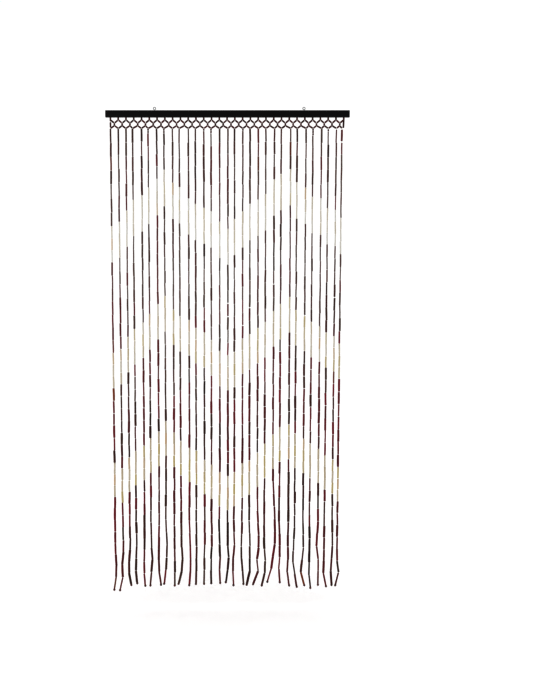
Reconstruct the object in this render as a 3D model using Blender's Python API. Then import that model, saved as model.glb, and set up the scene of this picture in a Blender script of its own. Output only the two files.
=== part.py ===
"""Bamboo bead door curtain, 90 by 183 cm, hanging straight from its wooden header rail.

Metres, +Z up. X runs along the rail, left to right as seen from the front, and the front faces -Y.
The origin is midway between the two screw eyes, where their hooks would bear.
"""

import math
from collections import namedtuple

import bmesh
import bpy
from mathutils import Matrix

MM = 0.001
GAP = 0.3 * MM

# Screw eyes: wire loops whose shanks go into the rail's top edge
EYE_SPACING = 551 * MM
EYE_LOOP_DIAMETER = 11 * MM
EYE_WIRE_DIAMETER = 2.2 * MM
EYE_NECK = 2 * MM
EYE_COLLAR_DIAMETER = 3.6 * MM
LOOP_STEPS = 20
WIRE_SIDES = 8

# Header rail: a straight batten, a little off centre under its eyes
RAIL_LENGTH = 900 * MM
RAIL_HEIGHT = 25 * MM
RAIL_DEPTH = 15 * MM
RAIL_MIDDLE = -6.5 * MM
RAIL_TOP = EYE_WIRE_DIAMETER - EYE_LOOP_DIAMETER - EYE_NECK
RAIL_BOTTOM = RAIL_TOP - RAIL_HEIGHT
RAIL_EDGE = 1.2 * MM

# Netting: one row of diamonds between the rail and the strands
STRANDS = 31
PITCH = 28.7 * MM
NET_MIDDLE = RAIL_MIDDLE - 1.5 * MM
KNOT_DROP = 9 * MM
CROSSING_DROP = 21 * MM
CROSSING_LENGTH = 9 * MM
STRAND_TOP_DROP = 40 * MM
RIGHT_EDGE_ASIDE = 5 * MM
RIGHT_EDGE_RISE = 3.5 * MM
NECK_RADIUS = 2.0 * MM
KNOT_RADIUS = 2.4 * MM
NET_RADIUS = 2.2 * MM

# Strands: bamboo tubes on a cord, drawn as one four-sided run with a bead at its foot, thicker lower down
TOP_TUBE_RADIUS = 2.3 * MM
FOOT_TUBE_RADIUS = 2.65 * MM
END_BEAD_RADIUS = 4.3 * MM
END_BEAD_HEIGHT = 8.4 * MM
END_BEAD_PROFILE = ((1.0, 0.45), (0.4, 1.0), (-0.4, 1.0), (-1.0, 0.45))
HEM = 1805 * MM
FLAT_ENOUGH = math.radians(0.4)

# Heights above the end bead where a strand's lower tubes turn a little, and how far its foot swings in depth
PLUMB_FROM = 420 * MM
STATIONS = {"knee": 262 * MM, "calf": 158 * MM, "shin": 105 * MM, "ankle": 54 * MM}
FOOT_SWING = 3 * MM
SWING_TURN = 2.1

# Bands of natural tubes: zigzags that peak on the 8th and 24th strands
BAND_PEAK_STRANDS = (8, 24)
BAND_STEP = 27 * MM
BAND_TOPS = (216 * MM, 686 * MM, 1160 * MM)
BAND_HEIGHT = 134 * MM

# One row for each strand, left to right, in mm. Sideways places are from its hanging point (drift) and from its
# own plumb line (knee to toe). Drop is how far its bead hangs past the hem. Bands are from the zigzag's line.
Strand = namedtuple("Strand", "drift knee calf shin ankle toe drop band_1 band_2 band_3")
TABLE = (
    Strand(0, -1, -1, 3, 1, -7, 20, 19, 25, -27),
    Strand(0, 1, 2, -3, -1, -13, 20, 29, 37, 23),
    Strand(-1, -1, 1, -4, -6, 3, 0, 15, 18, 7),
    Strand(-5, -1, 1, -2, -4, 1, -6, 2, 15, 9),
    Strand(-1, -1, -1, -4, -4, 0, 2, 12, 17, 15),
    Strand(-5, -1, 0, 4, -1, -5, 2, 11, 12, 13),
    Strand(-2, -1, -3, -4, -3, 4, 0, 6, 1, 15),
    Strand(-4, -2, 2, 0, -3, -10, -6, 0, -2, 1),
    Strand(-1, -1, -1, 0, 0, -1, 2, 20, 22, 18),
    Strand(-5, 1, 1, 5, 2, -11, -4, 9, 20, 24),
    Strand(0, -2, 2, 2, 2, -3, 0, 24, 8, 23),
    Strand(-3, -1, 0, -1, -1, -3, -4, 17, 11, 7),
    Strand(0, 0, 0, -2, -2, -3, -4, 4, 0, 17),
    Strand(-2, -1, 1, -2, -2, -2, -8, -9, 3, 8),
    Strand(1, -3, -1, 1, -2, 1, -8, 2, 17, 10),
    Strand(3, -1, -1, 3, 0, -8, -10, 1, 6, -2),
    Strand(-1, -2, 1, -4, -5, -3, 0, -8, 21, 10),
    Strand(1, -1, -3, -3, 1, 5, -4, -9, -3, 2),
    Strand(-1, 0, 3, 3, 3, -9, 0, -10, 7, 19),
    Strand(1, 2, 8, -1, 5, -15, -4, 1, 11, 15),
    Strand(0, -1, 0, 4, 3, -9, 2, 8, 15, 7),
    Strand(3, 8, 10, 3, -4, -19, -12, -19, 1, -1),
    Strand(0, -1, 2, 2, -1, 3, -12, -12, 1, -3),
    Strand(6, 0, -1, 0, -3, 5, 2, -3, 2, 14),
    Strand(1, 1, -3, -5, 2, 11, 8, 19, 24, 22),
    Strand(5, 0, 3, -2, -7, 7, 0, 11, 18, 15),
    Strand(2, -1, 1, 0, -1, 5, 12, 18, 15, 7),
    Strand(5, 1, -4, 3, 3, 3, 0, -3, 4, 0),
    Strand(1, 0, 0, 0, -2, 9, 4, 6, 1, -2),
    Strand(2, 1, 3, 0, -2, 1, 0, -15, -12, -12),
    Strand(-6, 0, 0, 0, 7, -5, 2, -12, -11, -10),
)


def hanging_x(number):
    """Where strand `number` (1 to 31) hangs from the rail."""
    return NET_MIDDLE + (number - (STRANDS + 1) / 2) * PITCH


def strand_x(number):
    """The strand's plumb line."""
    return hanging_x(number) + TABLE[number - 1].drift * MM


def below_rail(drop):
    """A height given as a distance below the rail's top edge."""
    return RAIL_TOP - drop


def bead_height(number):
    """The middle of the strand's end bead."""
    return below_rail(HEM + TABLE[number - 1].drop * MM)


def band_edges(number):
    """Top and bottom heights of the strand's three natural bands, downwards."""
    row = TABLE[number - 1]
    steps = min(abs(number - peak) for peak in BAND_PEAK_STRANDS)
    edges = []
    for top, offset in zip(BAND_TOPS, (row.band_1, row.band_2, row.band_3)):
        start = below_rail(top + steps * BAND_STEP + offset * MM)
        edges += [start, start - BAND_HEIGHT]
    return edges


def tube_radius(height):
    """Half the strand's thickness at a height."""
    down = (RAIL_TOP - height) / HEM
    return TOP_TUBE_RADIUS + (FOOT_TUBE_RADIUS - TOP_TUBE_RADIUS) * down


def strand_route(number):
    """Points down the strand, each with its radius, from its root in the netting to under its end bead."""
    row = TABLE[number - 1]
    x = strand_x(number)
    bead = bead_height(number)
    swing = FOOT_SWING * math.sin(SWING_TURN * number)
    route = [((x, 0.0, z), tube_radius(z)) for z in band_edges(number)]
    route.append(((x, 0.0, bead + PLUMB_FROM), tube_radius(bead + PLUMB_FROM)))
    for name, above in STATIONS.items():
        aside = getattr(row, name) * MM
        forward = swing * (1 - above / PLUMB_FROM)
        route.append(((x + aside, forward, bead + above), tube_radius(bead + above)))
    foot = x + row.toe * MM
    half = END_BEAD_HEIGHT / 2
    for rise, share in END_BEAD_PROFILE:
        route.append(((foot, swing, bead + rise * half), share * END_BEAD_RADIUS))
    route.sort(key=lambda point: -point[0][2])
    return route


def finish(bm, name, materials):
    """Turns a bmesh into a named object."""
    bmesh.ops.recalc_face_normals(bm, faces=bm.faces)
    mesh = bpy.data.meshes.new(name)
    bm.to_mesh(mesh)
    bm.free()
    for material in materials:
        mesh.materials.append(material)
    part = bpy.data.objects.new(name, mesh)
    bpy.context.scene.collection.objects.link(part)
    return part


def finish_material(name, colour, roughness, metallic=0.0):
    """A plain material in the piece's own colour."""
    material = bpy.data.materials.new(name)
    material.use_nodes = True
    shader = material.node_tree.nodes["Principled BSDF"]
    shader.inputs["Base Color"].default_value = (*colour, 1.0)
    shader.inputs["Roughness"].default_value = roughness
    shader.inputs["Metallic"].default_value = metallic
    material.diffuse_color = (*colour, 1.0)
    return material


def make_rail():
    """The batten, with its long and short edges eased."""
    bm = bmesh.new()
    size = Matrix.Diagonal((RAIL_LENGTH, RAIL_DEPTH, RAIL_HEIGHT, 1.0))
    place = Matrix.Translation((RAIL_MIDDLE, 0.0, RAIL_TOP - RAIL_HEIGHT / 2))
    bmesh.ops.create_cube(bm, size=1.0, matrix=place @ size)
    bmesh.ops.bevel(
        bm, geom=bm.edges[:], offset=RAIL_EDGE, segments=2, profile=0.5, affect="EDGES", material=-1
    )
    finish(bm, "rail", [finish_material("Black lacquered wood", (0.012, 0.011, 0.010), 0.35)])


def make_screw_eye(name, x, material):
    """A closed wire loop facing the front, on a short collar that stands on the rail."""
    bm = bmesh.new()
    wire = EYE_WIRE_DIAMETER / 2
    ring = EYE_LOOP_DIAMETER / 2 - wire
    centre_z = wire - ring
    bmesh.ops.create_circle(
        bm, segments=WIRE_SIDES, radius=wire, matrix=Matrix.Translation((ring, 0.0, 0.0))
    )
    bmesh.ops.spin(
        bm,
        geom=bm.edges[:],
        cent=(0.0, 0.0, 0.0),
        axis=(0.0, 1.0, 0.0),
        angle=math.tau,
        steps=LOOP_STEPS,
        use_merge=True,
    )
    bmesh.ops.rotate(bm, verts=bm.verts, matrix=Matrix.Rotation(math.pi / LOOP_STEPS, 3, "Y"))
    bmesh.ops.translate(bm, verts=bm.verts, vec=(x, 0.0, centre_z))
    eye = finish(bm, name, [material])

    collar_foot = RAIL_TOP + GAP
    collar_top = centre_z - ring
    collar = bmesh.new()
    bmesh.ops.create_cone(
        collar,
        cap_ends=True,
        segments=WIRE_SIDES,
        radius1=EYE_COLLAR_DIAMETER / 2,
        radius2=EYE_WIRE_DIAMETER / 2,
        depth=collar_top - collar_foot,
        matrix=Matrix.Translation((x, 0.0, (collar_top + collar_foot) / 2)),
    )
    shank = finish(collar, name + "_shank", [material])
    shank.hide_render = True
    shank.display_type = "WIRE"
    join = eye.modifiers.new("Shank", "BOOLEAN")
    join.operation = "UNION"
    join.solver = "EXACT"
    join.object = shank
    eye.data.shade_smooth()


def make_bead_strands(dark, natural):
    """The netting and the strands as one body: a skin grown on the line of their cords."""
    bm = bmesh.new()
    skin = bm.verts.layers.skin.verify()

    def knot(x, y, z, radius):
        vert = bm.verts.new((x, y, z))
        vert[skin].radius = (radius, radius)
        return vert

    def thread(*knots):
        for upper, lower in zip(knots, knots[1:]):
            bm.edges.new((upper, lower))

    numbers = range(1, STRANDS + 1)
    roots = {}
    hangers = {}
    for number in numbers:
        x = hanging_x(number)
        top = knot(x, 0.0, RAIL_BOTTOM - GAP, NECK_RADIUS)
        hangers[number] = knot(x, 0.0, RAIL_BOTTOM - KNOT_DROP, KNOT_RADIUS)
        root = RAIL_BOTTOM - STRAND_TOP_DROP
        roots[number] = knot(strand_x(number), 0.0, root, tube_radius(root))
        thread(top, hangers[number])
        route = [knot(*place, radius) for place, radius in strand_route(number)]
        thread(roots[number], *route)
        if number == 1:
            top[skin].use_root = True
    for left in numbers[:-1]:
        right = left + 1
        x = (hanging_x(left) + hanging_x(right)) / 2
        upper = knot(x, 0.0, RAIL_BOTTOM - CROSSING_DROP, NET_RADIUS)
        lower = knot(x, 0.0, RAIL_BOTTOM - CROSSING_DROP - CROSSING_LENGTH, NET_RADIUS)
        thread(upper, lower)
        for side in (left, right):
            thread(hangers[side], upper)
            thread(lower, roots[side])
    thread(hangers[1], roots[1])
    corner_x = strand_x(STRANDS) + RIGHT_EDGE_ASIDE
    corner_z = RAIL_BOTTOM - STRAND_TOP_DROP + RIGHT_EDGE_RISE
    thread(hangers[STRANDS], knot(corner_x, 0.0, corner_z, NET_RADIUS), roots[STRANDS])

    grown = grow_skin(bm)
    edges = {number: band_edges(number) for number in numbers}
    for face in grown.faces:
        place = face.calc_center_median()
        number = round((place.x - NET_MIDDLE) / PITCH + (STRANDS + 1) / 2)
        heights = edges[min(max(number, 1), STRANDS)]
        bands = zip(heights[0::2], heights[1::2])
        face.material_index = int(any(top > place.z > bottom for top, bottom in bands))
    bmesh.ops.dissolve_limit(
        grown,
        angle_limit=FLAT_ENOUGH,
        verts=grown.verts,
        edges=grown.edges,
        delimit={"MATERIAL"},
    )
    finish(grown, "bead_strands", [dark, natural])


def grow_skin(bm):
    """The skin that grows on the cords' lines, as a new bmesh."""
    mesh = bpy.data.meshes.new("cord_lines")
    bm.to_mesh(mesh)
    bm.free()
    lines = bpy.data.objects.new("cord_lines", mesh)
    bpy.context.scene.collection.objects.link(lines)
    skin = lines.modifiers.new("Skin", "SKIN")
    skin.branch_smoothing = 0.0
    grown = bmesh.new()
    grown.from_object(lines, bpy.context.evaluated_depsgraph_get())
    bpy.data.objects.remove(lines)
    return grown


def main():
    for old in list(bpy.data.objects):
        bpy.data.objects.remove(old)
    steel = finish_material("Screw eye steel", (0.45, 0.45, 0.46), 0.35, 1.0)
    dark = finish_material("Dark stained bamboo", (0.055, 0.020, 0.018), 0.45)
    natural = finish_material("Natural bamboo", (0.78, 0.70, 0.55), 0.5)
    make_rail()
    make_screw_eye("screw_eye_left", -EYE_SPACING / 2, steel)
    make_screw_eye("screw_eye_right", EYE_SPACING / 2, steel)
    make_bead_strands(dark, natural)


main()
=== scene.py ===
import math
import random
from collections import namedtuple

import bmesh
import bpy
import numpy as np
from mathutils import Matrix, Vector


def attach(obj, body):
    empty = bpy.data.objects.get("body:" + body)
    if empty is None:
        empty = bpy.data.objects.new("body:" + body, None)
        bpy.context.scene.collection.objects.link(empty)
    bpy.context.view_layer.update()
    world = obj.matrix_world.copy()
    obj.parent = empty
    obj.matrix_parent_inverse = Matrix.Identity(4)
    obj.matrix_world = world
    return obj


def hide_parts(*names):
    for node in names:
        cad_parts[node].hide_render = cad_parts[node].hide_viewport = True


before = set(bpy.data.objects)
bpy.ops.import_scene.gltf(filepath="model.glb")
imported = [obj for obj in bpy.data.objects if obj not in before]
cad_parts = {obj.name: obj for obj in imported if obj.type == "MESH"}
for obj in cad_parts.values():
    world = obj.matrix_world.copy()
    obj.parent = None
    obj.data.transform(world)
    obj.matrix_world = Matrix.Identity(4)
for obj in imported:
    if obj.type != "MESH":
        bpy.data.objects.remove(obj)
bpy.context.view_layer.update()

MM = 0.001
SEED = 31

# Screw eyes, as in the solids
EYE_SPACING = 551 * MM
EYE_LOOP_DIAMETER = 11 * MM
EYE_WIRE_DIAMETER = 2.2 * MM
EYE_NECK = 2 * MM

# The eye's wire where it leaves the rail, in mm from the rail's top, and its share of the usual girth
WireKnot = namedtuple("WireKnot", "aside height girth")
EYE_SHANK = (
    WireKnot(0.0, -4.0, 1.45),
    WireKnot(0.0, 0.0, 1.45),
    WireKnot(0.0, 0.5, 1.2),
    WireKnot(0.0, 1.2, 1.0),
    WireKnot(0.25, 1.9, 1.0),
    WireKnot(0.8, 2.7, 1.0),
)
# Its loop, in degrees about its middle: from the neck, over the top, to where the end closes on the neck
EYE_LOOP_BEGINS = -58
EYE_LOOP_ENDS = 254
EYE_LOOP_STEP = 12
EYE_CREASE = 50

# Header rail, as in the solids
RAIL_LENGTH = 900 * MM
RAIL_HEIGHT = 25 * MM
RAIL_DEPTH = 15 * MM
RAIL_MIDDLE = -6.5 * MM
RAIL_TOP = EYE_WIRE_DIAMETER - EYE_LOOP_DIAMETER - EYE_NECK
RAIL_BOTTOM = RAIL_TOP - RAIL_HEIGHT
RAIL_EDGE = 1.2 * MM
RAIL_EDGE_STEPS = 4
RAIL_CREASE = 32
CORD_HOLE_RADIUS = 1.3 * MM
CORD_HOLE_DEPTH = 9 * MM
CORD_HOLE_SIDES = 12

# Netting, as in the solids
STRANDS = 31
PITCH = 28.7 * MM
NET_MIDDLE = RAIL_MIDDLE - 1.5 * MM
KNOT_DROP = 9 * MM
CROSSING_DROP = 21 * MM
CROSSING_LENGTH = 9 * MM
STRAND_TOP_DROP = 40 * MM
RIGHT_EDGE_ASIDE = 5 * MM
RIGHT_EDGE_RISE = 3.5 * MM

# Strands, as in the solids
END_BEAD_HEIGHT = 8.4 * MM
HEM = 1805 * MM
PLUMB_FROM = 420 * MM
STATIONS = {"knee": 262 * MM, "calf": 158 * MM, "shin": 105 * MM, "ankle": 54 * MM}
FOOT_SWING = 3 * MM
SWING_TURN = 2.1

# Bands of natural tubes, as in the solids
BAND_PEAK_STRANDS = (8, 24)
BAND_STEP = 27 * MM
BAND_TOPS = (216 * MM, 686 * MM, 1160 * MM)
BAND_HEIGHT = 134 * MM

# One row for each strand, left to right, in mm, as in the solids
Strand = namedtuple("Strand", "drift knee calf shin ankle toe drop band_1 band_2 band_3")
TABLE = (
    Strand(0, -1, -1, 3, 1, -7, 20, 19, 25, -27),
    Strand(0, 1, 2, -3, -1, -13, 20, 29, 37, 23),
    Strand(-1, -1, 1, -4, -6, 3, 0, 15, 18, 7),
    Strand(-5, -1, 1, -2, -4, 1, -6, 2, 15, 9),
    Strand(-1, -1, -1, -4, -4, 0, 2, 12, 17, 15),
    Strand(-5, -1, 0, 4, -1, -5, 2, 11, 12, 13),
    Strand(-2, -1, -3, -4, -3, 4, 0, 6, 1, 15),
    Strand(-4, -2, 2, 0, -3, -10, -6, 0, -2, 1),
    Strand(-1, -1, -1, 0, 0, -1, 2, 20, 22, 18),
    Strand(-5, 1, 1, 5, 2, -11, -4, 9, 20, 24),
    Strand(0, -2, 2, 2, 2, -3, 0, 24, 8, 23),
    Strand(-3, -1, 0, -1, -1, -3, -4, 17, 11, 7),
    Strand(0, 0, 0, -2, -2, -3, -4, 4, 0, 17),
    Strand(-2, -1, 1, -2, -2, -2, -8, -9, 3, 8),
    Strand(1, -3, -1, 1, -2, 1, -8, 2, 17, 10),
    Strand(3, -1, -1, 3, 0, -8, -10, 1, 6, -2),
    Strand(-1, -2, 1, -4, -5, -3, 0, -8, 21, 10),
    Strand(1, -1, -3, -3, 1, 5, -4, -9, -3, 2),
    Strand(-1, 0, 3, 3, 3, -9, 0, -10, 7, 19),
    Strand(1, 2, 8, -1, 5, -15, -4, 1, 11, 15),
    Strand(0, -1, 0, 4, 3, -9, 2, 8, 15, 7),
    Strand(3, 8, 10, 3, -4, -19, -12, -19, 1, -1),
    Strand(0, -1, 2, 2, -1, 3, -12, -12, 1, -3),
    Strand(6, 0, -1, 0, -3, 5, 2, -3, 2, 14),
    Strand(1, 1, -3, -5, 2, 11, 8, 19, 24, 22),
    Strand(5, 0, 3, -2, -7, 7, 0, 11, 18, 15),
    Strand(2, -1, 1, 0, -1, 5, 12, 18, 15, 7),
    Strand(5, 1, -4, 3, 3, 3, 0, -3, 4, 0),
    Strand(1, 0, 0, 0, -2, 9, 4, 6, 1, -2),
    Strand(2, 1, 3, 0, -2, 1, 0, -15, -12, -12),
    Strand(-6, 0, 0, 0, 7, -5, 2, -12, -11, -10),
)

# Tubes threaded on the cords
TUBE_RADIUS = 2.75 * MM
TUBE_WALL = 1.05 * MM
TUBE_CHAMFER = 0.3 * MM
TUBE_SIDES = 10
USUAL_DARK_TUBE = 46.4 * MM
USUAL_NATURAL_TUBE = 42.8 * MM
NATURAL_GIRTH = 0.97
DARK_WANDER = 0.26
NATURAL_WANDER = 0.1
TUBE_BOW = 0.45 * MM
TUBE_LEAN = 0.7 * MM
TAPER = 0.04
SWELL = (-0.06, 0.08)
BEAD_CREASE = 38
DARK_PITCH = 48.4 * MM
NATURAL_TUBES = 3
JOINT_GAP = (0.8 * MM, 3.0 * MM)
JOINT_WANDER = 1.6 * MM
UNDER_NETTING = 0.9 * MM
INTO_END_BEAD = 0.4 * MM
SMALL_BEAD_PITCH = 8.6 * MM
SMALL_BEAD_SHY = 0.8 * MM
USUAL_SMALL_BEAD = 7.0 * MM
SMALL_BEADS = {6: 2, 8: 2, 13: 1, 14: 2, 18: 1, 27: 3, 29: 1}
BARE_CORDS = {29: 2.5 * MM, 30: 4 * MM, 31: 4 * MM}
CORD_RADIUS = 0.5 * MM

# Half profiles of the end bead and of the knot under it, as (radius, height) in mm
END_BEAD_TURNING = (
    (0.9, 4.0),
    (1.9, 4.15),
    (3.15, 3.25),
    (4.0, 1.8),
    (4.3, 0.0),
    (4.0, -1.8),
    (3.15, -3.25),
    (1.9, -4.15),
    (0.9, -4.0),
)
END_BEAD_SIDES = 16
END_BEAD_WANDER = 0.04
FOOT_KNOT_TURNING = ((0.15, 0.95), (0.8, 0.8), (1.15, 0.2), (1.1, -0.35), (0.7, -0.9), (0.15, -1.0))
FOOT_KNOT_SIDES = 8
FOOT_KNOT_REACH = (-0.7 * MM, 1.3 * MM)

# How thick the canes are, as (depth below the rail's top, share of the usual girth)
GIRTHS = ((0.0, 0.99), (0.35, 0.97), (0.62, 0.92), (0.95, 1.14), (1.3, 1.28), (1.8, 1.29))

# How open the joints are, as (depth below the rail's top, share of the usual gap)
OPENNESS = ((0.0, 0.65), (0.15, 0.5), (0.7, 0.45), (0.95, 1.0), (1.8, 1.0))

# How the stain runs down the curtain, as (depth below the rail's top, share of the dark tubes)
WINE_SHARES = ((0.0, 0.22), (0.6, 0.22), (0.85, 0.58), (1.25, 0.58), (1.8, 0.5))
FADED_SHARES = ((0.0, 0.48), (0.6, 0.58), (0.9, 0.22), (1.8, 0.22))
# How often the next tube is cut from another cane, and how far the stain strays along one cane
NEW_CANE = 0.4
STAIN_WANDER = 0.12

# Netting beads, and how far each stays from the ends of its cord
NET_BEAD_RADIUS = 2.9 * MM
NECK_BEAD_RADIUS = 2.95 * MM
NECK_BEAD_LENGTH = 9.0 * MM
NECK_OVERHANG = 0.4 * MM
CORD_IN_RAIL = 6.0 * MM
CROSSING_BEAD_LENGTH = 8.4 * MM
UPPER_SLANT_SHY = 2.5 * MM
LOWER_SLANT_SHY = 2.1 * MM
LEFT_EDGE_BEADS = ((1.2 * MM, 5.2 * MM), (9.3 * MM, 27.2 * MM))
RIGHT_EDGE_BEADS = ((1.2 * MM, 28.6 * MM),)

# Joints that stand open, by strand, depth below the rail's top and width, in mm
OpenJoint = namedtuple("OpenJoint", "strand depth width")
OPEN_JOINTS = (
    OpenJoint(31, 105, 6.5),
    OpenJoint(16, 726, 4.5),
    OpenJoint(16, 777, 5),
    OpenJoint(19, 741, 5),
    OpenJoint(26, 778, 5),
    OpenJoint(22, 660, 4),
    OpenJoint(18, 801, 4.5),
    OpenJoint(30, 703, 4.5),
)

# Tubes whose stain came out another colour, by strand and depth below the rail's top in mm
OddTube = namedtuple("OddTube", "strand depth shade redness warmth")
ODD_TUBES = (
    OddTube(1, 215, 0.5, 0.3, 0.35),
    OddTube(1, 870, 0.5, 0.4, 0.35),
    OddTube(1, 1075, 0.6, 0.5, 0.9),
    OddTube(20, 215, 0.6, 0.2, 0.45),
    OddTube(24, 160, 0.6, 0.2, 0.4),
    OddTube(9, 866, 0.4, 0.9, 0.4),
    OddTube(30, 1010, 0.5, 0.3, 0.45),
    OddTube(31, 1520, 0.6, 0.3, 0.7),
    OddTube(26, 1785, 0.5, 0.2, 0.9),
    OddTube(1, 1790, 0.3, 0.1, 0.5),
)

Bead = namedtuple("Bead", "top foot girth tone")

# Studio
CAMERA_X = -8.3 * MM
AIM_HEIGHT = -899.4 * MM
CAMERA_DISTANCE = 4.0
CAMERA_RISE = math.asin(0.1115)
LENS = 54.41
SENSOR_WIDTH = 36.0
SHIFT = 43 / 700
FLOOR_HEIGHT = -1.9025
FLOOR_RADIUS = 9.0
ROOM_BRIGHTNESS = 1.03
VIEW_GAMMA = 0.55
Lamp = namedtuple("Lamp", "name place power size")
LAMPS = (
    Lamp("key", (-2.6, -3.0, -0.3), 22.0, 1.6),
    Lamp("back", (2.2, 3.4, 0.2), 8.0, 1.6),
)
LAMPS_AIM = (0.0, 0.0, -0.9)


def hanging_x(number):
    """Where strand `number` (1 to 31) hangs from the rail."""
    return NET_MIDDLE + (number - (STRANDS + 1) / 2) * PITCH


def strand_x(number):
    """The strand's plumb line."""
    return hanging_x(number) + TABLE[number - 1].drift * MM


def below_rail(drop):
    """A height given as a distance below the rail's top edge."""
    return RAIL_TOP - drop


def bead_height(number):
    """The middle of the strand's end bead."""
    return below_rail(HEM + TABLE[number - 1].drop * MM)


def band_edges(number):
    """Top and bottom heights of the strand's three natural bands, downwards."""
    row = TABLE[number - 1]
    steps = min(abs(number - peak) for peak in BAND_PEAK_STRANDS)
    edges = []
    for top, offset in zip(BAND_TOPS, (row.band_1, row.band_2, row.band_3)):
        start = below_rail(top + steps * BAND_STEP + offset * MM)
        edges += [start, start - BAND_HEIGHT]
    return edges


def foot_swing(number):
    """How far forward or back the strand's foot stands."""
    return FOOT_SWING * math.sin(SWING_TURN * number)


def cord_route(number):
    """The turning points of the strand's cord, upwards from its end bead to its root in the netting."""
    row = TABLE[number - 1]
    x = strand_x(number)
    bead = bead_height(number)
    swing = foot_swing(number)
    route = [(x + row.toe * MM, swing, bead)]
    for name, above in sorted(STATIONS.items(), key=lambda station: station[1]):
        aside = getattr(row, name) * MM
        route.append((x + aside, swing * (1 - above / PLUMB_FROM), bead + above))
    route.append((x, 0.0, bead + PLUMB_FROM))
    route.append((x, 0.0, RAIL_BOTTOM - STRAND_TOP_DROP))
    return np.array(route)


def by_depth(table, height):
    """A number read off a table of (depth below the rail's top, number) at a height."""
    depths, numbers = zip(*table)
    return float(np.interp(RAIL_TOP - height, depths, numbers))


def on_cord(route, height):
    """The point of a cord at a height."""
    return Vector((
        np.interp(height, route[:, 2], route[:, 0]),
        np.interp(height, route[:, 2], route[:, 1]),
        height,
    ))


def link_object(name, mesh):
    """An object at the origin with its place in its mesh."""
    thing = bpy.data.objects.new(name, mesh)
    bpy.context.scene.collection.objects.link(thing)
    return thing


def finish_piece(piece, material):
    """Gives a piece its material and its body."""
    piece.data.materials.clear()
    piece.data.materials.append(material)
    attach(piece, "root")
    return piece


# Turned shapes and how they are strung

def turned(profile, sides):
    """The points and four-sided faces of a closed loop of (radius, height) turned about Z."""
    bm = bmesh.new()
    knots = [bm.verts.new((radius, 0.0, height)) for radius, height in profile]
    edges = [bm.edges.new(pair) for pair in zip(knots, knots[1:] + knots[:1])]
    bmesh.ops.spin(
        bm,
        geom=knots + edges,
        cent=(0.0, 0.0, 0.0),
        axis=(0.0, 0.0, 1.0),
        angle=math.tau,
        steps=sides,
        use_merge=True,
    )
    bmesh.ops.recalc_face_normals(bm, faces=bm.faces)
    bm.verts.index_update()
    points = np.array([vert.co for vert in bm.verts])
    faces = np.array([[vert.index for vert in face.verts] for face in bm.faces])
    bm.free()
    return points, faces


def turned_solid(profile, sides):
    """A turned shape from a profile in mm."""
    return turned([(radius * MM, height * MM) for radius, height in profile], sides)


def tube_shape(length, radius, wall):
    """A short hollow tube whose cut ends are rubbed round, with a ring at its middle to bow it by."""
    half = length / 2
    inner = radius - wall
    profile = (
        (radius, 0.0),
        (radius, half - TUBE_CHAMFER),
        (radius - TUBE_CHAMFER, half),
        (inner, half),
        (inner, -half),
        (radius - TUBE_CHAMFER, -half),
        (radius, TUBE_CHAMFER - half),
    )
    return turned(profile, TUBE_SIDES)


def string_up(name, shape, beads, material, draw, wander=0.05, slant=0.08, bow=0.0, lean=0.0):
    """One piece of many beads of a shape, each set along its own stretch of cord."""
    points, faces = shape
    nominal = points[:, 2].max() - points[:, 2].min()
    half_way = 1 - np.abs(points[:, 2]) / (nominal / 2)
    all_points = []
    all_faces = []
    own_places = []
    tones = []
    lots = []
    halves = []
    for count, bead in enumerate(beads):
        top = bead.top + Vector((draw.uniform(-lean, lean), draw.uniform(-lean, lean), 0.0))
        foot = bead.foot + Vector((draw.uniform(-lean, lean), draw.uniform(-lean, lean), 0.0))
        line = top - foot
        upright = line.to_track_quat("Z", "Y").to_matrix()
        turn = np.array(upright @ Matrix.Rotation(draw.uniform(0.0, math.tau), 3, "Z"))
        girth = bead.girth * draw.uniform(1 - wander, 1 + wander)
        taper = draw.uniform(-TAPER, TAPER) / nominal
        upper_cut = draw.uniform(-slant, slant)
        lower_cut = draw.uniform(-slant, slant)
        place = points.copy()
        own_places.append(place / MM)
        cut = np.where(place[:, 2] > 0, upper_cut, lower_cut) * place[:, 0]
        swell = draw.uniform(*SWELL) if bow else 0.0
        width = girth * (1 + taper * place[:, 2] + swell * half_way)
        place[:, 0] = place[:, 0] * width + draw.uniform(-bow, bow) * half_way
        place[:, 1] *= width
        place[:, 2] = place[:, 2] * line.length / nominal + cut
        middle = (top + foot) / 2
        all_points.append(place @ turn.T + np.array(middle))
        all_faces.append(faces + count * len(points))
        tones.append(np.tile(bead.tone, (len(points), 1)))
        lots.append(np.full(len(points), draw.random()))
        halves.append(np.full(len(points), nominal / 2 / MM))
    mesh = bpy.data.meshes.new(name)
    mesh.from_pydata(np.concatenate(all_points).tolist(), [], np.concatenate(all_faces).tolist())
    for label, kind, field, values in (
        ("own_place", "FLOAT_VECTOR", "vector", own_places),
        ("tone", "FLOAT_VECTOR", "vector", tones),
        ("lot", "FLOAT", "value", lots),
        ("half_length", "FLOAT", "value", halves),
    ):
        layer = mesh.attributes.new(label, kind, "POINT")
        layer.data.foreach_set(field, np.concatenate(values).astype(np.float32).ravel())
    mesh.shade_smooth()
    mesh.set_sharp_from_angle(angle=math.radians(BEAD_CREASE))
    return finish_piece(link_object(name, mesh), material)


# Shader building

def add_node(tree, kind, inputs=(), **settings):
    """A shader node with its settings, and its sockets filled or linked."""
    node = tree.nodes.new(kind)
    for name, value in settings.items():
        setattr(node, name, value)
    for socket, value in dict(inputs).items():
        if isinstance(value, bpy.types.NodeSocket):
            tree.links.new(value, node.inputs[socket])
        else:
            node.inputs[socket].default_value = value
    return node


def calculate(tree, operation, *values):
    """A number worked out from others."""
    return add_node(tree, "ShaderNodeMath", enumerate(values), operation=operation).outputs[0]


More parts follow.
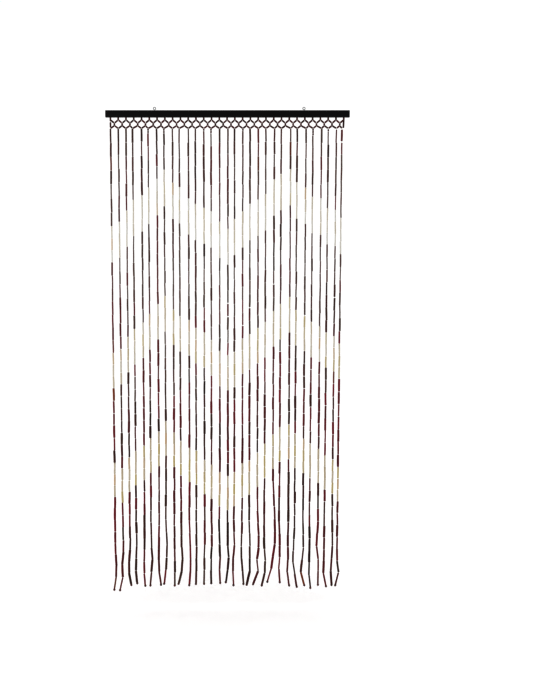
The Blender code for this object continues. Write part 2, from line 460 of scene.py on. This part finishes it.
def stretch(tree, vector, scale):
    """Coordinates stretched by three factors."""
    node = add_node(tree, "ShaderNodeVectorMath", {0: vector, 1: scale}, operation="MULTIPLY")
    return node.outputs[0]


def grade(tree, value, stops):
    """A colour looked up on a scale of (position, colour) stops."""
    node = add_node(tree, "ShaderNodeValToRGB", {"Fac": value})
    ramp = node.color_ramp
    for extra in stops[2:]:
        ramp.elements.new(extra[0])
    for element, (position, colour) in zip(ramp.elements, sorted(stops)):
        element.position = position
        element.color = (*colour, 1.0)
    return node.outputs["Color"]


def blend_colours(tree, share, below, above, mode="MIX"):
    """Two colours mixed by a share."""
    node = add_node(tree, "ShaderNodeMix", data_type="RGBA", blend_type=mode)
    for socket, value in ((0, share), (6, below), (7, above)):
        if isinstance(value, bpy.types.NodeSocket):
            tree.links.new(value, node.inputs[socket])
        elif socket == 0:
            node.inputs[socket].default_value = value
        else:
            node.inputs[socket].default_value = (*value, 1.0)
    return node.outputs[2]


def spread(tree, value, low, high, to_low=0.0, to_high=1.0, smooth=False):
    """A value's range moved to another, held at its ends."""
    node = add_node(
        tree,
        "ShaderNodeMapRange",
        {"Value": value, "From Min": low, "From Max": high, "To Min": to_low, "To Max": to_high},
        interpolation_type="SMOOTHSTEP" if smooth else "LINEAR",
        clamp=True,
    )
    return node.outputs[0]


def new_group(name, inputs, outputs):
    """An empty shader group with named sockets."""
    group = bpy.data.node_groups.new(name, "ShaderNodeTree")
    kinds = {"value": "NodeSocketFloat", "vector": "NodeSocketVector"}
    for label, kind in inputs:
        group.interface.new_socket(label, in_out="INPUT", socket_type=kinds[kind])
    for label, kind in outputs:
        group.interface.new_socket(label, in_out="OUTPUT", socket_type=kinds[kind])
    return group, group.nodes.new("NodeGroupInput").outputs, group.nodes.new("NodeGroupOutput").inputs


def place_group(tree, group, inputs):
    """Puts a group in a material and fills its sockets."""
    node = tree.nodes.new("ShaderNodeGroup")
    node.node_tree = group
    for label, value in inputs.items():
        if isinstance(value, bpy.types.NodeSocket):
            tree.links.new(value, node.inputs[label])
        else:
            node.inputs[label].default_value = value
    return node.outputs


def fibre_group():
    """Long fibres, pores and the rubbed ends of a cut cane, in its own millimetres."""
    group, given, result = new_group(
        "Cane fibre",
        (("Own place", "vector"), ("Lot", "value"), ("Half length", "value")),
        (("Streaks", "value"), ("Pores", "value"), ("Rubbed end", "value"), ("Height", "value")),
    )
    lot = calculate(group, "MULTIPLY", given["Lot"], 57.0)
    streaks = add_node(
        group,
        "ShaderNodeTexNoise",
        {"Vector": stretch(group, given["Own place"], (1.5, 1.5, 0.03)), "W": lot,
         "Scale": 1.0, "Detail": 4.0, "Roughness": 0.62},
        noise_dimensions="4D",
    ).outputs["Fac"]
    pores = add_node(
        group,
        "ShaderNodeTexNoise",
        {"Vector": stretch(group, given["Own place"], (7.0, 7.0, 0.5)), "W": lot,
         "Scale": 1.0, "Detail": 2.0, "Roughness": 0.5},
        noise_dimensions="4D",
    ).outputs["Fac"]
    along = add_node(group, "ShaderNodeSeparateXYZ", {0: given["Own place"]}).outputs["Z"]
    from_end = calculate(group, "SUBTRACT", given["Half length"], calculate(group, "ABSOLUTE", along))
    ragged = calculate(group, "ADD", from_end, calculate(group, "MULTIPLY", streaks, -1.6))
    rubbed = spread(group, ragged, -0.9, 0.5, 1.0, 0.0, smooth=True)
    height = calculate(group, "ADD", calculate(group, "MULTIPLY", streaks, 0.7),
                       calculate(group, "MULTIPLY", pores, 0.3))
    group.links.new(streaks, result["Streaks"])
    group.links.new(pores, result["Pores"])
    group.links.new(rubbed, result["Rubbed end"])
    group.links.new(height, result["Height"])
    return group


def new_material(name):
    """A material with its shader, ready for nodes."""
    material = bpy.data.materials.new(name)
    material.use_nodes = True
    tree = material.node_tree
    return material, tree, tree.nodes["Principled BSDF"]


def attribute(tree, label):
    """A value or vector stored on the beads."""
    return add_node(tree, "ShaderNodeAttribute", attribute_name=label, attribute_type="GEOMETRY").outputs


def bump(tree, shader, height, distance, strength):
    """Low relief from a height."""
    node = add_node(tree, "ShaderNodeBump", {"Height": height, "Distance": distance, "Strength": strength})
    tree.links.new(node.outputs["Normal"], shader.inputs["Normal"])


def cane_nodes(tree, fibre):
    """The fibre group on a bead, and the bead's own shade, redness and warmth."""
    outputs = place_group(tree, fibre, {
        "Own place": attribute(tree, "own_place")["Vector"],
        "Lot": attribute(tree, "lot")["Fac"],
        "Half length": attribute(tree, "half_length")["Fac"],
    })
    tone = add_node(tree, "ShaderNodeSeparateXYZ", {0: attribute(tree, "tone")["Vector"]}).outputs
    return outputs, tone


def dark_cane(fibre):
    """Bamboo stained near black, with burgundy, faded and warm tubes among it."""
    material, tree, shader = new_material("Dark stained bamboo")
    cane, tone = cane_nodes(tree, fibre)
    stain = grade(tree, tone["X"], (
        (0.0, (0.026, 0.0075, 0.0050)),
        (0.5, (0.066, 0.0260, 0.0170)),
        (1.0, (0.134, 0.095, 0.079)),
    ))
    stain = blend_colours(tree, tone["Y"], stain, (0.225, 0.0130, 0.030))
    stain = blend_colours(tree, tone["Z"], stain, (0.245, 0.066, 0.016))
    streaked = spread(tree, cane["Streaks"], 0.36, 0.66, 0.55, 1.6)
    streaked_colour = add_node(tree, "ShaderNodeCombineColor", {0: streaked, 1: streaked, 2: streaked})
    colour = blend_colours(tree, 1.0, stain, streaked_colour.outputs[0], "MULTIPLY")
    rubbed = calculate(tree, "MULTIPLY", cane["Rubbed end"], 0.5)
    colour = blend_colours(tree, rubbed, colour, (0.105, 0.058, 0.036))
    tree.links.new(colour, shader.inputs["Base Color"])
    tree.links.new(spread(tree, cane["Pores"], 0.3, 0.7, 0.34, 0.52), shader.inputs["Roughness"])
    shader.inputs["Specular IOR Level"].default_value = 0.38
    shader.inputs["Coat Weight"].default_value = 0.12
    shader.inputs["Coat Roughness"].default_value = 0.22
    bump(tree, shader, cane["Height"], 0.00025, 0.45)
    return material


def natural_cane(fibre):
    """Peeled bamboo, greyish cream to tan, with olive and ruddy tubes among it."""
    material, tree, shader = new_material("Natural bamboo")
    cane, tone = cane_nodes(tree, fibre)
    skin = grade(tree, tone["X"], (
        (0.0, (0.642, 0.632, 0.605)),
        (0.5, (0.560, 0.503, 0.412)),
        (1.0, (0.495, 0.423, 0.318)),
    ))
    skin = blend_colours(tree, tone["Y"], skin, (0.52, 0.435, 0.225))
    skin = blend_colours(tree, tone["Z"], skin, (0.57, 0.415, 0.27))
    dark_streak = spread(tree, cane["Streaks"], 0.52, 0.72, 0.0, 0.45)
    skin = blend_colours(tree, dark_streak, skin, (0.30, 0.21, 0.11))
    speck = spread(tree, cane["Pores"], 0.68, 0.78, 0.0, 0.5)
    skin = blend_colours(tree, speck, skin, (0.16, 0.09, 0.04))
    rubbed = calculate(tree, "MULTIPLY", cane["Rubbed end"], 0.55)
    skin = blend_colours(tree, rubbed, skin, (0.66, 0.56, 0.42))
    tree.links.new(skin, shader.inputs["Base Color"])
    tree.links.new(spread(tree, cane["Pores"], 0.3, 0.7, 0.38, 0.58), shader.inputs["Roughness"])
    shader.inputs["Coat Weight"].default_value = 0.12
    shader.inputs["Coat Roughness"].default_value = 0.3
    bump(tree, shader, cane["Height"], 0.00025, 0.4)
    return material


def end_bead_wood(fibre):
    """Turned wooden beads, stained like the tubes and lacquered."""
    material, tree, shader = new_material("Stained bead wood")
    cane, tone = cane_nodes(tree, fibre)
    stain = grade(tree, tone["X"], (
        (0.0, (0.022, 0.0105, 0.0095)),
        (0.5, (0.060, 0.0250, 0.0220)),
        (1.0, (0.130, 0.0680, 0.0560)),
    ))
    stain = blend_colours(tree, tone["Y"], stain, (0.165, 0.020, 0.026))
    stain = blend_colours(tree, tone["Z"], stain, (0.230, 0.075, 0.030))
    rings = add_node(
        tree,
        "ShaderNodeTexNoise",
        {"Vector": stretch(tree, attribute(tree, "own_place")["Vector"], (0.25, 0.25, 1.7)),
         "W": attribute(tree, "lot")["Fac"], "Scale": 1.0, "Detail": 3.0},
        noise_dimensions="4D",
    ).outputs["Fac"]
    ring_shade = spread(tree, rings, 0.35, 0.65, 0.55, 1.5)
    ring_colour = add_node(tree, "ShaderNodeCombineColor", {0: ring_shade, 1: ring_shade, 2: ring_shade})
    colour = blend_colours(tree, 1.0, stain, ring_colour.outputs[0], "MULTIPLY")
    tree.links.new(colour, shader.inputs["Base Color"])
    tree.links.new(spread(tree, cane["Pores"], 0.3, 0.7, 0.24, 0.4), shader.inputs["Roughness"])
    shader.inputs["Coat Weight"].default_value = 0.5
    shader.inputs["Coat Roughness"].default_value = 0.15
    bump(tree, shader, rings, 0.0002, 0.35)
    return material


def object_millimetres(tree):
    """The piece's own coordinates in millimetres."""
    place = add_node(tree, "ShaderNodeTexCoord").outputs["Object"]
    return stretch(tree, place, (1000.0, 1000.0, 1000.0))


def black_lacquer():
    """Black lacquer over close-grained wood, worn thin along the long edges."""
    material, tree, shader = new_material("Black lacquered wood")
    place = object_millimetres(tree)
    grain = add_node(
        tree,
        "ShaderNodeTexNoise",
        {"Vector": stretch(tree, place, (0.02, 1.4, 1.4)), "Scale": 1.0, "Detail": 5.0, "Roughness": 0.6},
    ).outputs["Fac"]
    brush = add_node(
        tree,
        "ShaderNodeTexNoise",
        {"Vector": stretch(tree, place, (0.012, 0.25, 0.25)), "Scale": 1.0, "Detail": 2.0},
    ).outputs["Fac"]
    parts = add_node(tree, "ShaderNodeSeparateXYZ", {0: place}).outputs
    middle = (RAIL_TOP - RAIL_HEIGHT / 2) / MM
    across = calculate(tree, "DIVIDE", calculate(tree, "ABSOLUTE", parts["Y"]), RAIL_DEPTH / 2 / MM)
    up = calculate(tree, "ABSOLUTE", calculate(tree, "SUBTRACT", parts["Z"], middle))
    up = calculate(tree, "DIVIDE", up, RAIL_HEIGHT / 2 / MM)
    edge = spread(tree, calculate(tree, "ADD", across, up), 1.88, 1.96, 0.0, 1.0, smooth=True)
    patchy = add_node(
        tree,
        "ShaderNodeTexNoise",
        {"Vector": stretch(tree, place, (0.05, 0.6, 0.6)), "Scale": 1.0, "Detail": 4.0},
    ).outputs["Fac"]
    worn = calculate(tree, "MULTIPLY", edge, spread(tree, patchy, 0.52, 0.68, 0.0, 0.7))
    lacquer = grade(tree, grain, ((0.3, (0.0035, 0.0032, 0.0033)), (0.75, (0.0105, 0.0092, 0.0085))))
    lacquer = blend_colours(tree, worn, lacquer, (0.075, 0.036, 0.020))
    tree.links.new(lacquer, shader.inputs["Base Color"])
    tree.links.new(spread(tree, brush, 0.3, 0.7, 0.3, 0.46), shader.inputs["Roughness"])
    shader.inputs["Specular IOR Level"].default_value = 0.3
    shader.inputs["Coat Weight"].default_value = 0.1
    shader.inputs["Coat Roughness"].default_value = 0.2
    bump(tree, shader, grain, 0.0003, 0.3)
    return material


def eye_steel():
    """Drawn steel wire with a thin bright plating, dulled here and there."""
    material, tree, shader = new_material("Plated steel wire")
    place = object_millimetres(tree)
    dull = add_node(
        tree,
        "ShaderNodeTexNoise",
        {"Vector": place, "Scale": 0.45, "Detail": 4.0},
    ).outputs["Fac"]
    scratch = add_node(
        tree,
        "ShaderNodeTexNoise",
        {"Vector": stretch(tree, place, (2.0, 9.0, 2.0)), "Scale": 1.0, "Detail": 3.0},
    ).outputs["Fac"]
    colour = grade(tree, dull, ((0.35, (0.33, 0.33, 0.34)), (0.7, (0.17, 0.168, 0.165))))
    tree.links.new(colour, shader.inputs["Base Color"])
    tree.links.new(spread(tree, dull, 0.3, 0.7, 0.24, 0.48), shader.inputs["Roughness"])
    shader.inputs["Metallic"].default_value = 1.0
    bump(tree, shader, scratch, 0.00012, 0.3)
    return material


def threading_cord():
    """Thin twisted cord, natural and a little waxed."""
    material, tree, shader = new_material("Twisted threading cord")
    place = object_millimetres(tree)
    twist = add_node(
        tree,
        "ShaderNodeTexWave",
        {"Vector": stretch(tree, place, (1.4, 1.4, 0.75)), "Scale": 0.8, "Distortion": 0.6, "Detail": 2.0},
        wave_type="BANDS",
        bands_direction="DIAGONAL",
    ).outputs["Fac"]
    fuzz = add_node(
        tree,
        "ShaderNodeTexNoise",
        {"Vector": place, "Scale": 2.2, "Detail": 3.0},
    ).outputs["Fac"]
    colour = grade(tree, twist, ((0.1, (0.20, 0.165, 0.12)), (0.8, (0.42, 0.37, 0.29))))
    colour = blend_colours(tree, spread(tree, fuzz, 0.5, 0.8, 0.0, 0.4), colour, (0.13, 0.10, 0.075))
    tree.links.new(colour, shader.inputs["Base Color"])
    tree.links.new(spread(tree, fuzz, 0.3, 0.7, 0.6, 0.8), shader.inputs["Roughness"])
    bump(tree, shader, twist, 0.0003, 0.6)
    return material


# Rail and eyes

def batten(material):
    """The rail with its edges eased and a hole drilled up into it for each strand's cord."""
    bm = bmesh.new()
    size = Matrix.Diagonal((RAIL_LENGTH, RAIL_DEPTH, RAIL_HEIGHT, 1.0))
    place = Matrix.Translation((RAIL_MIDDLE, 0.0, RAIL_TOP - RAIL_HEIGHT / 2))
    bmesh.ops.create_cube(bm, size=1.0, matrix=place @ size)
    bmesh.ops.bevel(
        bm,
        geom=bm.edges[:],
        offset=RAIL_EDGE,
        segments=RAIL_EDGE_STEPS,
        profile=0.5,
        affect="EDGES",
        material=-1,
    )
    mesh = bpy.data.meshes.new("rail_batten")
    bm.to_mesh(mesh)
    bm.free()
    rail = link_object("rail_batten", mesh)

    drills = bmesh.new()
    for number in range(1, STRANDS + 1):
        bmesh.ops.create_cone(
            drills,
            cap_ends=True,
            segments=CORD_HOLE_SIDES,
            radius1=CORD_HOLE_RADIUS,
            radius2=CORD_HOLE_RADIUS,
            depth=2 * CORD_HOLE_DEPTH,
            matrix=Matrix.Translation((hanging_x(number), 0.0, RAIL_BOTTOM)),
        )
    drill_mesh = bpy.data.meshes.new("drills")
    drills.to_mesh(drill_mesh)
    drills.free()
    drill = link_object("drills", drill_mesh)
    cut = rail.modifiers.new("Cord holes", "BOOLEAN")
    cut.operation = "DIFFERENCE"
    cut.solver = "EXACT"
    cut.object = drill
    drilled = bmesh.new()
    drilled.from_object(rail, bpy.context.evaluated_depsgraph_get())
    rail.modifiers.clear()
    bpy.data.objects.remove(drill)
    bmesh.ops.recalc_face_normals(drilled, faces=drilled.faces)
    drilled.to_mesh(mesh)
    drilled.free()
    mesh.shade_smooth()
    mesh.set_sharp_from_angle(angle=math.radians(RAIL_CREASE))
    finish_piece(rail, material)
    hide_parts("rail")


def bent_wire_eye(name, x, node, material):
    """A screw eye bent from one wire: a shank out of the rail, and a loop closed back onto it."""
    wire = EYE_WIRE_DIAMETER / 2
    ring = EYE_LOOP_DIAMETER / 2 - wire
    centre_z = wire - ring
    route = [(knot.aside * MM, RAIL_TOP + knot.height * MM, knot.girth) for knot in EYE_SHANK]
    for turn in range(EYE_LOOP_BEGINS, EYE_LOOP_ENDS + 1, EYE_LOOP_STEP):
        angle = math.radians(turn)
        route.append((ring * math.cos(angle), centre_z + ring * math.sin(angle), 1.0))
    curve = bpy.data.curves.new(name, "CURVE")
    curve.dimensions = "3D"
    curve.bevel_depth = wire
    curve.bevel_resolution = 4
    curve.use_fill_caps = True
    spline = curve.splines.new("POLY")
    spline.points.add(len(route) - 1)
    for point, (aside, height, girth) in zip(spline.points, route):
        point.co = (x + aside, 0.0, height, 1.0)
        point.radius = girth
    drawn = link_object(name + "_route", curve)
    mesh = bpy.data.meshes.new_from_object(drawn.evaluated_get(bpy.context.evaluated_depsgraph_get()))
    bpy.data.objects.remove(drawn)
    mesh.name = name
    mesh.shade_smooth()
    mesh.set_sharp_from_angle(angle=math.radians(EYE_CREASE))
    eye = finish_piece(link_object(name, mesh), material)
    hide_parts(node)


# Netting and strands

def netting_links():
    """The netting's cords, each with its kind of bead and where the beads begin and end on it."""
    links = []
    hangers = {}
    roots = {}
    for number in range(1, STRANDS + 1):
        x = hanging_x(number)
        hangers[number] = Vector((x, 0.0, RAIL_BOTTOM - KNOT_DROP))
        roots[number] = Vector((strand_x(number), 0.0, RAIL_BOTTOM - STRAND_TOP_DROP))
        neck_top = Vector((x, 0.0, RAIL_BOTTOM + CORD_IN_RAIL))
        neck_end = KNOT_DROP + CORD_IN_RAIL + NECK_OVERHANG
        neck_stretch = (neck_end - NECK_BEAD_LENGTH, neck_end)
        links.append((neck_top, hangers[number], "net_neck_beads", (neck_stretch,)))
    for left in range(1, STRANDS):
        x = (hanging_x(left) + hanging_x(left + 1)) / 2
        upper = Vector((x, 0.0, RAIL_BOTTOM - CROSSING_DROP))
        lower = Vector((x, 0.0, RAIL_BOTTOM - CROSSING_DROP - CROSSING_LENGTH))
        spare = (CROSSING_LENGTH - CROSSING_BEAD_LENGTH) / 2
        links.append((upper, lower, "net_crossing_beads", ((spare, CROSSING_LENGTH - spare),)))
        for side in (left, left + 1):
            for top, foot, kind, shy in (
                (hangers[side], upper, "net_upper_slants", UPPER_SLANT_SHY),
                (lower, roots[side], "net_lower_slants", LOWER_SLANT_SHY),
            ):
                links.append((top, foot, kind, ((shy, (foot - top).length - shy),)))
    links.append((hangers[1], roots[1], "net_edge_beads", LEFT_EDGE_BEADS))
    corner = roots[STRANDS] + Vector((RIGHT_EDGE_ASIDE, 0.0, RIGHT_EDGE_RISE))
    links.append((hangers[STRANDS], corner, "net_edge_beads", RIGHT_EDGE_BEADS))
    links.append((corner, roots[STRANDS], "net_edge_beads", ()))
    return links


def split(top, foot, count, draw):
    """Heights of the joints of a stretch of tubes, its two ends among them."""
    pitch = (top - foot) / count
    inner = [top - step * pitch + draw.uniform(-JOINT_WANDER, JOINT_WANDER) for step in range(1, count)]
    return [top, *inner, foot]


def stained_tones(heights, draw):
    """Shade, redness and warmth of the dark tube at each height, in runs cut from the same cane."""
    tones = []
    for height in heights:
        wine = by_depth(WINE_SHARES, height)
        faded = by_depth(FADED_SHARES, height)
        if not tones or draw.random() < NEW_CANE:
            kind = draw.random()
            warmth = 0.0
            if kind < wine:
                shade = draw.uniform(0.4 * faded, 0.3 + 0.7 * faded)
                redness = draw.uniform(0.1 + 0.4 * wine, 0.2 + 1.1 * wine)
            elif kind < wine + faded:
                shade = draw.uniform(0.2 + 0.6 * faded, 0.4 + faded)
                redness = draw.uniform(0.0, 0.1)
                warmth = draw.uniform(0.0, 0.06)
            else:
                shade = draw.uniform(0.4 * faded, 0.3 + 0.7 * faded)
                redness = draw.uniform(0.0, 0.4 * wine)
        tones.append((
            min(max(shade + draw.uniform(-STAIN_WANDER, STAIN_WANDER), 0.0), 1.0),
            min(max(redness + draw.uniform(-STAIN_WANDER, STAIN_WANDER), 0.0), 1.0),
            warmth,
        ))
    return tones


def natural_tone(band, draw):
    """Shade, olive and ruddy cast of a natural tube: palest in the top band, more coloured downwards."""
    shade = draw.uniform(0.0, 0.4) + 0.22 * band
    olive = 0.0
    ruddy = 0.0
    kind = draw.random()
    if kind < 0.08 + 0.14 * band:
        olive = draw.uniform(0.3, 1.0) * (1 + band) / 3
    elif kind < 0.12 + 0.24 * band:
        ruddy = draw.uniform(0.2, 0.8)
    return (shade, olive, ruddy)


def threaded(number, draw):
    """The dark tubes, natural tubes and small beads of a strand, downwards."""
    route = cord_route(number)
    root = RAIL_BOTTOM - STRAND_TOP_DROP
    foot = bead_height(number) + END_BEAD_HEIGHT / 2 - INTO_END_BEAD
    edges = band_edges(number)
    small = []
    tubes = []
    height = root - BARE_CORDS.get(number, 0.0)
    for step in range(SMALL_BEADS.get(number, 0)):
        small.append((height - SMALL_BEAD_SHY, height - SMALL_BEAD_PITCH + SMALL_BEAD_SHY))
        height -= SMALL_BEAD_PITCH
    heights = [height, *edges, foot]
    for stretch_number, (top, low) in enumerate(zip(heights, heights[1:])):
        natural = stretch_number % 2
        count = NATURAL_TUBES if natural else max(1, round((top - low) / DARK_PITCH))
        joints = split(top, low, count, draw)
        tubes += [[upper, lower, (stretch_number + 1) // 2 if natural else 0]
                  for upper, lower in zip(joints, joints[1:])]
    gaps = [draw.uniform(*JOINT_GAP) * by_depth(OPENNESS, low) for top, low, band in tubes[:-1]]
    for joint in OPEN_JOINTS:
        if joint.strand == number:
            place = below_rail(joint.depth * MM)
            nearest = min(range(len(gaps)), key=lambda index: abs(tubes[index][1] - place))
            gaps[nearest] = joint.width * MM
    for index, gap in enumerate(gaps):
        tubes[index][1] += gap / 2
        tubes[index + 1][0] -= gap / 2
    tubes[0][0] -= UNDER_NETTING
    stained = stained_tones([top for top, low, band in tubes], draw)
    dark = []
    natural_beads = []
    for (top, low, band), tone in zip(tubes, stained):
        ends = (on_cord(route, top), on_cord(route, low))
        if band:
            natural_beads.append(Bead(*ends, by_depth(GIRTHS, top), natural_tone(band - 1, draw)))
            continue
        for odd in ODD_TUBES:
            if odd.strand == number and top > below_rail(odd.depth * MM) > low:
                tone = (odd.shade, odd.redness, odd.warmth)
        dark.append(Bead(*ends, by_depth(GIRTHS, top), tone))
    small_beads = [
        Bead(on_cord(route, top), on_cord(route, low), 1.0, (draw.uniform(0.0, 0.4), 0.15, 0.0))
        for top, low in small
    ]
    return dark, natural_beads, small_beads


def end_bead(number, draw):
    """The turned bead at the strand's foot, level on its cord."""
    x = strand_x(number) + TABLE[number - 1].toe * MM
    middle = Vector((x, foot_swing(number), bead_height(number)))
    above = on_cord(cord_route(number), middle.z + STATIONS["ankle"])
    line = (above - middle).normalized() * END_BEAD_HEIGHT / 2
    tone = (draw.uniform(0.0, 0.6), draw.uniform(0.0, 0.6), draw.uniform(0.0, 0.2))
    return Bead(middle + line, middle - line, 1.0, tone)


def foot_knot(bead):
    """The knot that holds an end bead."""
    line = (bead.foot - bead.top).normalized()
    top, foot = (bead.foot + line * reach for reach in FOOT_KNOT_REACH)
    return Bead(top, foot, 1.0, (0.0, 0.0, 0.0))


def cords(links, beads, material):
    """All the threading cord as one piece: the netting's links and a long run down each strand."""
    curve = bpy.data.curves.new("cords", "CURVE")
    curve.dimensions = "3D"
    curve.bevel_depth = CORD_RADIUS
    curve.bevel_resolution = 1
    curve.use_fill_caps = True
    runs = [(top, foot) for top, foot, kind, stretches in links]
    for number, bead in enumerate(beads, start=1):
        route = cord_route(number)
        run = [Vector(point) for point in route[::-1]]
        run[-1] = bead.foot
        runs.append(run)
    for run in runs:
        spline = curve.splines.new("POLY")
        spline.points.add(len(run) - 1)
        for point, place in zip(spline.points, run):
            point.co = (*place, 1.0)
    drawn = link_object("cord_runs", curve)
    mesh = bpy.data.meshes.new_from_object(drawn.evaluated_get(bpy.context.evaluated_depsgraph_get()))
    bpy.data.objects.remove(drawn)
    mesh.name = "threading_cords"
    mesh.shade_smooth()
    finish_piece(link_object("threading_cords", mesh), material)


def make_curtain():
    """Everything that hangs from the rail."""
    fibre = fibre_group()
    dark = dark_cane(fibre)
    natural = natural_cane(fibre)
    wood = end_bead_wood(fibre)
    cord = threading_cord()
    draw = random.Random(SEED)
    dark_tubes = []
    natural_tubes = []
    small_beads = []
    end_beads = []
    for number in range(1, STRANDS + 1):
        stained, peeled, small = threaded(number, draw)
        dark_tubes += stained
        natural_tubes += peeled
        small_beads += small
        end_beads.append(end_bead(number, draw))
    links = netting_links()
    netting_beads = {}
    for top, foot, kind, stretches in links:
        line = (foot - top).normalized()
        for begin, end in stretches:
            tone = (draw.uniform(0.0, 0.2), draw.uniform(0.05, 0.35), 0.0)
            bead = Bead(top + line * begin, top + line * end, 1.0, tone)
            netting_beads.setdefault(kind, []).append(bead)
    tube = tube_shape(USUAL_DARK_TUBE, TUBE_RADIUS, TUBE_WALL)
    peeled_tube = tube_shape(USUAL_NATURAL_TUBE, TUBE_RADIUS * NATURAL_GIRTH, TUBE_WALL)
    piece = string_up("dark_tubes", tube, dark_tubes, dark, draw,
                      wander=DARK_WANDER, bow=TUBE_BOW, lean=TUBE_LEAN)
    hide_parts("bead_strands")
    string_up("natural_tubes", peeled_tube, natural_tubes, natural, draw,
              wander=NATURAL_WANDER, bow=TUBE_BOW, lean=TUBE_LEAN)
    small = tube_shape(USUAL_SMALL_BEAD, TUBE_RADIUS, TUBE_WALL)
    string_up("small_top_beads", small, small_beads, dark, draw)
    for kind, beads in netting_beads.items():
        radius = NECK_BEAD_RADIUS if kind in ("net_neck_beads", "net_crossing_beads") else NET_BEAD_RADIUS
        usual = sum((bead.top - bead.foot).length for bead in beads) / len(beads)
        string_up(kind, tube_shape(usual, radius, TUBE_WALL), beads, dark, draw)
    ball = turned_solid(END_BEAD_TURNING, END_BEAD_SIDES)
    string_up("end_beads", ball, end_beads, wood, draw, wander=END_BEAD_WANDER, slant=0.0)
    knot_shape = turned_solid(FOOT_KNOT_TURNING, FOOT_KNOT_SIDES)
    knots = [foot_knot(bead) for bead in end_beads]
    string_up("foot_knots", knot_shape, knots, cord, draw)
    cords(links, end_beads, cord)


# Studio

def make_camera():
    """The camera in front of the curtain's middle, a little above its half height, aimed slightly down."""
    camera = bpy.data.objects.new("camera", bpy.data.cameras.new("camera"))
    bpy.context.scene.collection.objects.link(camera)
    camera.data.sensor_width = SENSOR_WIDTH
    camera.data.lens = LENS
    camera.data.shift_x = SHIFT
    camera.location = (
        CAMERA_X,
        -CAMERA_DISTANCE * math.cos(CAMERA_RISE),
        AIM_HEIGHT + CAMERA_DISTANCE * math.sin(CAMERA_RISE),
    )
    camera.rotation_euler = (math.pi / 2 - CAMERA_RISE, 0.0, 0.0)
    bpy.context.scene.camera = camera


def make_floor():
    """A plain pale floor under the hem."""
    bm = bmesh.new()
    bmesh.ops.create_circle(
        bm,
        cap_ends=True,
        segments=96,
        radius=FLOOR_RADIUS,
        matrix=Matrix.Translation((0.0, 0.0, FLOOR_HEIGHT)),
    )
    mesh = bpy.data.meshes.new("floor")
    bm.to_mesh(mesh)
    bm.free()
    floor = link_object("floor", mesh)
    material, tree, shader = new_material("Pale studio floor")
    place = add_node(tree, "ShaderNodeTexCoord").outputs["Object"]
    mottle = add_node(
        tree,
        "ShaderNodeTexNoise",
        {"Vector": place, "Scale": 3.0, "Detail": 2.0},
    ).outputs["Fac"]
    colour = grade(tree, mottle, ((0.3, (0.93, 0.93, 0.93)), (0.7, (0.95, 0.95, 0.95))))
    tree.links.new(colour, shader.inputs["Base Color"])
    shader.inputs["Roughness"].default_value = 0.9
    shader.inputs["Specular IOR Level"].default_value = 0.1
    shader.inputs["Emission Color"].default_value = (1.0, 1.0, 1.0, 1.0)
    shader.inputs["Emission Strength"].default_value = 0.065
    floor.data.materials.append(material)


def make_light():
    """A white room with a broad soft light from the front left and a weaker one from behind."""
    scene = bpy.context.scene
    world = bpy.data.worlds.new("white_room")
    world.use_nodes = True
    background = world.node_tree.nodes["Background"]
    background.inputs["Color"].default_value = (1.0, 1.0, 1.0, 1.0)
    background.inputs["Strength"].default_value = ROOM_BRIGHTNESS
    scene.world = world
    scene.view_settings.view_transform = "Standard"
    scene.view_settings.gamma = VIEW_GAMMA
    for lamp in LAMPS:
        light = bpy.data.lights.new(lamp.name, "AREA")
        light.energy = lamp.power
        light.size = lamp.size
        stand = bpy.data.objects.new(lamp.name, light)
        scene.collection.objects.link(stand)
        stand.location = lamp.place
        aim = Vector(LAMPS_AIM) - Vector(lamp.place)
        stand.rotation_euler = aim.to_track_quat("-Z", "Y").to_euler()


make_camera()
make_light()
make_floor()
batten(black_lacquer())
steel = eye_steel()
bent_wire_eye("eye_left_wire", -EYE_SPACING / 2, "screw_eye_left", steel)
bent_wire_eye("eye_right_wire", EYE_SPACING / 2, "screw_eye_right", steel)
make_curtain()
